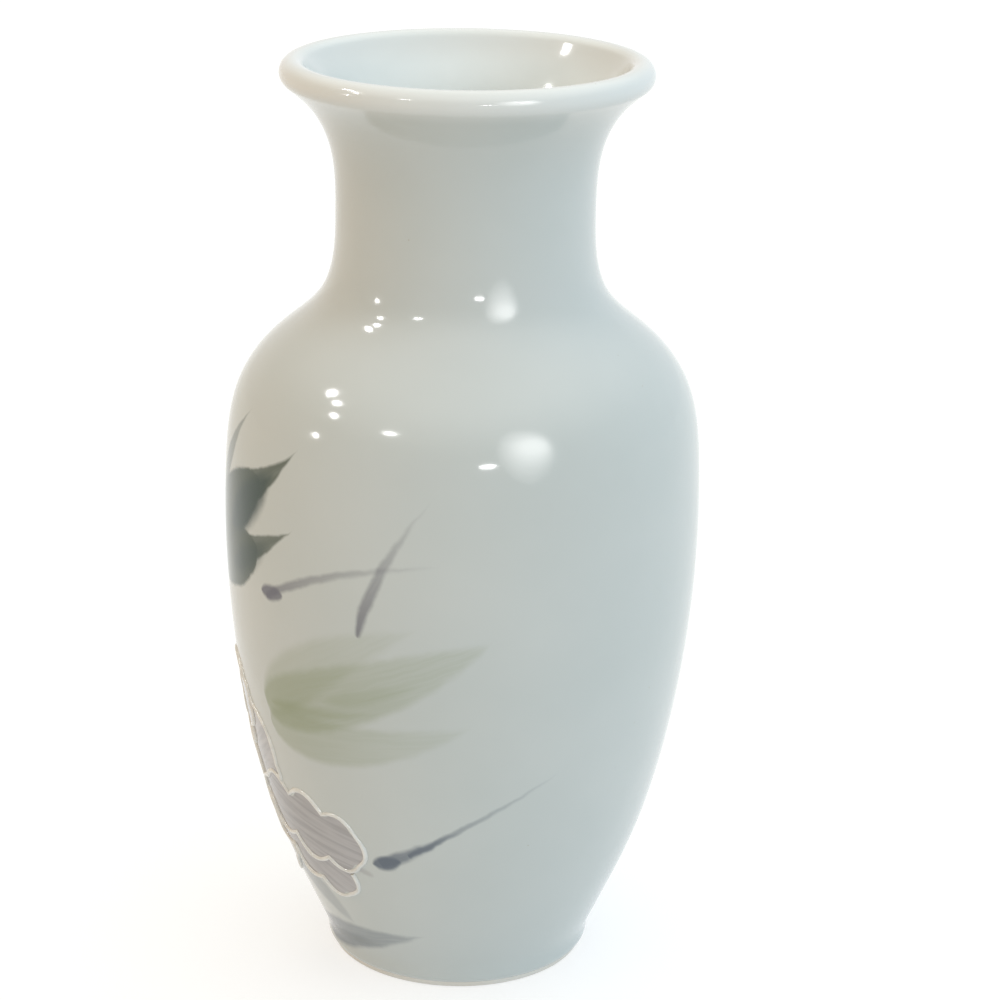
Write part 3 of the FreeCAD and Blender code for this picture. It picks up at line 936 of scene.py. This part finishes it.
def slip_finish(colours):
    """White slip trailed onto the glaze and fired glossy: soft and opaque, greyer where thin."""
    material, tree, place = new_material("trailed white slip")
    lumps = put(tree, "TexNoise", {"Vector": place, "Scale": per(2.6 * MM)})
    cover = put(tree, "MapRange", [lumps, 0.35, 0.65])
    full = colours.raised_slip
    thin = [value * THIN_SLIP_TONE for value in full]
    slip = put(tree, "Mix", [cover, thin, full])
    surface = put(tree, "Bump", {"Strength": 0.4, "Distance": 0.1 * MM, "Height": lumps})
    shader = put(
        tree, "BsdfPrincipled",
        {"Base Color": slip, "Roughness": 0.16, "IOR": 1.5, "Normal": surface},
    )
    put(tree, "OutputMaterial", {"Surface": shader})
    return material


def give_finish(piece, material):
    """The piece's only material."""
    piece.data.materials.clear()
    piece.data.materials.append(material)


def settle(piece, material, slot, *nodes):
    """Gives the piece its material. It rides on the vase and stands for CAD nodes, which it hides.
    The slot is not used.
    """
    give_finish(piece, material)
    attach(piece, BODY)
    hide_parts(*nodes)


# Operators


class VASE_OT_glazes(bpy.types.Operator):
    """Model the outside coat of glaze with its painting, and the inside coat"""

    bl_idname = "vase.glazes"
    bl_label = "Glazes"

    def execute(self, context):
        shape, colours = context.scene.vase_shape, context.scene.vase_colours
        outside = glaze_coat("outside_glaze_coat", outside_outline(shape), shape)
        settle(outside, painted_glaze(shape, colours), "clear_glaze", "outside_glaze")
        inside = glaze_coat("inside_glaze_coat", inside_outline(shape), shape)
        settle(inside, plain_glaze(colours), "clear_glaze", "inside_glaze")
        return {"FINISHED"}


class VASE_OT_slip_lines(bpy.types.Operator):
    """Trail the raised lines of slip round the heart and the petals"""

    bl_idname = "vase.slip_lines"
    bl_label = "Slip lines"

    def execute(self, context):
        shape = context.scene.vase_shape
        material = slip_finish(context.scene.vase_colours)
        sunk = shape.line_width / 2 - shape.line_height
        heart = (heart_outline(shape), heart_frame(shape))
        petals = []
        for number in range(len(PETAL_ANGLES)):
            place, length, width = petal_frame(shape, number)
            petals.append((petal_outline(shape, length, width), place))

        bead = [on_wall(heart[1], point.x, point.y, sunk) for point in heart[0]]
        ring = trailed_line("slip_line_heart", bead[:-1], shape, True)
        settle(ring, material, "raised_slip", HEART_NODE)
        for number, (outline, place) in enumerate(petals):
            over = [heart] + petals[max(number - 1, 0):number]
            if number == len(petals) - 1:
                over.append(petals[0])
            points = [on_wall(place, point.x, point.y, sunk) for point in outline]
            runs = shown_runs(points, lambda point: any(covers(*other, point) for other in over))
            lines = [trailed_line("slip_run", run, shape, False) for run in runs]
            line = joined("slip_line_petal_%d" % (number + 1), lines)
            settle(line, material, "raised_slip", "petal_outline_%d" % (number + 1))
        return {"FINISHED"}


class VASE_OT_clay(bpy.types.Operator):
    """Give the clay sections, the slip seams and the base glaze their finishes"""

    bl_idname = "vase.clay"
    bl_label = "Clay and seams"

    def execute(self, context):
        colours = context.scene.vase_colours
        clay = bisque("fired porcelain clay", colours.bisque, 0.5 * MM)
        slip = bisque("fired luting slip", colours.luting_slip, 0.25 * MM)
        for name in CLAY_NODES:
            give_finish(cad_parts[name], clay)
        for name in SLIP_NODES:
            give_finish(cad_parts[name], slip)
        # The underside's glaze takes the same colour, painted lighter like the inside's
        give_finish(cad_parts["base_glaze"], plain_glaze(colours))
        return {"FINISHED"}


def direction(azimuth, elevation):
    """Unit vector that points from the vase to an azimuth and elevation."""
    level = math.cos(elevation)
    return Vector((math.sin(azimuth) * level, -math.cos(azimuth) * level, math.sin(elevation)))


MIDDLE = Vector((0, 0, WALL_HEIGHTS[-1] / 2))
LAMP_DISTANCE = 1.3
# Lamps for the gloss: name, azimuth and elevation in degrees, width and height, and brightness.
# The window is brightest in its middle, so it is made of five lamps, one over the other.
GLINTS = (
    ("window_1", 31.5, 21, (0.62, 0.94), 1.1),
    ("window_2", 32, 22, (0.54, 0.78), 1.1),
    ("window_3", 33, 23, (0.46, 0.62), 1.3),
    ("window_4", 34, 24, (0.38, 0.46), 1.5),
    ("window_5", 35, 25, (0.28, 0.30), 1.7),
    ("lamp_1", -77, 16, (0.07, 0.07), 50),
    ("lamp_2", -76, 34, (0.10, 0.06), 50),
    ("lamp_3", -93, 43.5, (0.08, 0.11), 50),
    ("lamp_4", -83, 41.5, (0.10, 0.07), 50),
    ("lamp_5", -40, 35, (0.15, 0.045), 45),
    ("lamp_6", 12, 13, (0.17, 0.05), 40),
)


def soft_lamp(name, azimuth, elevation, size, radiance):
    """Oval lamp far from the vase that faces it and shows only in the gloss."""
    away = direction(math.radians(azimuth), math.radians(elevation))
    turn = away.to_track_quat("Z", "Y").to_euler()
    place = MIDDLE + away * LAMP_DISTANCE
    bpy.ops.object.light_add(type="AREA", location=place, rotation=turn)
    lamp = bpy.context.object
    lamp.name = name
    lamp.data.shape = "ELLIPSE"
    lamp.data.size, lamp.data.size_y = size
    lamp.data.energy = radiance * math.pi * size[0] * size[1]
    lamp.visible_camera = False
    lamp.visible_diffuse = False


def seen(tree):
    """1 where the camera, the gloss or glass sees a surface, and 0 where it only lights others."""
    rays = put(tree, "LightPath").node.outputs
    either = put(tree, "Math MAXIMUM", [rays["Is Camera Ray"], rays["Is Glossy Ray"]])
    return put(tree, "Math MAXIMUM", [either, rays["Is Transmission Ray"]])


WHITE = (1, 1, 1)
FLOOR_SIZE = 12
SENSOR_WIDTH = 36
# Strength of the paper's own glow, where it lights the vase and where it is seen
PAPER_GLOW = 0.42
SEEN_PAPER_GLOW = 0.60
# Where the light turns from the left side's to the right side's: metres along the paper, and
# shares of the sky's width
PAPER_TURN = (-0.26, 0.05)
SKY_TURN = (-0.9, 0.5)
# Height in the sky where the far edge of the paper ends, and where the ceiling's gloss begins
SWEEP_TOP = 0.24
GLOSS_START = 0.3


class VASE_OT_studio(bpy.types.Operator):
    """Set up the floor, the light and the camera"""

    bl_idname = "vase.studio"
    bl_label = "Studio"

    def execute(self, context):
        studio = context.scene.vase_studio
        select_only()
        bpy.ops.mesh.primitive_plane_add(size=FLOOR_SIZE)
        floor = bpy.context.object
        floor.name = "studio_floor"
        give_finish(floor, self.paper(studio))
        self.daylight(context, studio)
        for name, azimuth, elevation, size, radiance in GLINTS:
            soft_lamp(name, azimuth, elevation, size, radiance)
        self.camera(context, studio)
        return {"FINISHED"}

    def paper(self, studio):
        """Pale studio paper, lit a little from behind so that it goes to white round the vase and
        keeps a soft shadow under it."""
        material, tree, place = new_material("pale studio paper")
        fibres = put(tree, "TexNoise", {"Vector": place, "Scale": per(3 * MM)})
        shade = put(tree, "MapRange", [fibres, 0, 1, 0.985])
        paper = put(tree, "Mix", [1.0, studio.floor, shade], blend_type="MULTIPLY")
        matt = put(tree, "BsdfDiffuse", {"Color": paper})
        x = put(tree, "SeparateXYZ", [place])
        side = put(tree, "MapRange SMOOTHSTEP", [x, PAPER_TURN[0], PAPER_TURN[1]])
        bounce = put(tree, "Mix", [side, studio.bounce_left, studio.bounce_right])
        shown = seen(tree)
        tint = put(tree, "Mix", [shown, bounce, WHITE])
        strength = put(tree, "MapRange", [shown, 0, 1, PAPER_GLOW, SEEN_PAPER_GLOW])
        glow = put(tree, "Emission", {"Color": tint, "Strength": strength})
        surface = put(tree, "AddShader", [matt, glow])
        put(tree, "OutputMaterial", {"Surface": surface})
        return material

    def daylight(self, context, studio):
        """Soft light from all round, warmer and darker on the left. Where it is seen it is white,
        and brighter overhead."""
        world = bpy.data.worlds.new("studio daylight")
        context.scene.world = world
        world.use_nodes = True
        tree = world.node_tree
        tree.nodes.clear()
        way = put(tree, "TexCoord")
        x = put(tree, "SeparateXYZ", [way])
        height = x.node.outputs[2]
        side = put(tree, "MapRange SMOOTHSTEP", [x, SKY_TURN[0], SKY_TURN[1]])
        sweep = put(tree, "Mix", [side, studio.sweep_left, studio.sweep_right])
        level = put(tree, "Mix", [side, studio.level_left, studio.level_right])
        ceiling = put(tree, "Mix", [side, studio.ceiling_left, studio.ceiling_right])
        rise = put(tree, "MapRange", [height])
        sky = put(tree, "Mix", [rise, level, ceiling])
        above = put(tree, "MapRange SMOOTHSTEP", [height, 0, SWEEP_TOP])
        sky = put(tree, "Mix", [above, sweep, sky])
        shown = seen(tree)
        sky = put(tree, "Mix", [shown, sky, WHITE])
        white = put(
            tree, "MapRange SMOOTHSTEP", [height, GLOSS_START, 1, 1.0, studio.ceiling_gloss]
        )
        strength = put(tree, "MapRange", [shown, 0, 1, studio.daylight, white])
        light = put(tree, "Background", {"Color": sky, "Strength": strength})
        put(tree, "OutputWorld", {"Surface": light})

    def camera(self, context, studio):
        """Camera at the photograph's place."""
        back = direction(0, studio.camera_rise)
        place = Matrix.Translation(MIDDLE + back * studio.camera_distance)
        level = back.to_track_quat("Z", "Y").to_matrix().to_4x4()
        bpy.ops.object.camera_add()
        camera = bpy.context.object
        camera.matrix_world = place @ level @ Matrix.Rotation(studio.camera_roll, 4, "Z")
        camera.data.lens = studio.lens
        camera.data.sensor_width = SENSOR_WIDTH
        camera.data.shift_x = studio.shift_x
        camera.data.shift_y = studio.shift_y
        camera.data.clip_start = 10 * MM
        context.scene.camera = camera
        context.scene.view_settings.view_transform = "Standard"


class VASE_PT_sidebar(bpy.types.Panel):
    """Sizes, colours and steps of the vase"""

    bl_idname = "VASE_PT_sidebar"
    bl_label = "Vase"
    bl_space_type = "VIEW_3D"
    bl_region_type = "UI"
    bl_category = "Vase"

    def draw(self, context):
        for group, operators in (
            (context.scene.vase_shape, ("vase.glazes", "vase.slip_lines")),
            (context.scene.vase_colours, ("vase.clay",)),
            (context.scene.vase_studio, ("vase.studio",)),
        ):
            box = self.layout.box()
            for name in group.__annotations__:
                box.prop(group, name)
            for operator in operators:
                box.operator(operator)


CLASSES = (
    VaseShape,
    VaseColours,
    StudioSettings,
    VASE_OT_glazes,
    VASE_OT_slip_lines,
    VASE_OT_clay,
    VASE_OT_studio,
    VASE_PT_sidebar,
)


def register():
    for kind in CLASSES:
        bpy.utils.register_class(kind)
    bpy.types.Scene.vase_shape = PointerProperty(type=VaseShape)
    bpy.types.Scene.vase_colours = PointerProperty(type=VaseColours)
    bpy.types.Scene.vase_studio = PointerProperty(type=StudioSettings)


def unregister():
    del bpy.types.Scene.vase_studio
    del bpy.types.Scene.vase_colours
    del bpy.types.Scene.vase_shape
    for kind in reversed(CLASSES):
        bpy.utils.unregister_class(kind)


def main():
    register()
    bpy.ops.vase.studio()
    bpy.ops.vase.clay()
    bpy.ops.vase.glazes()
    bpy.ops.vase.slip_lines()


if __name__ == "__main__":
    main()
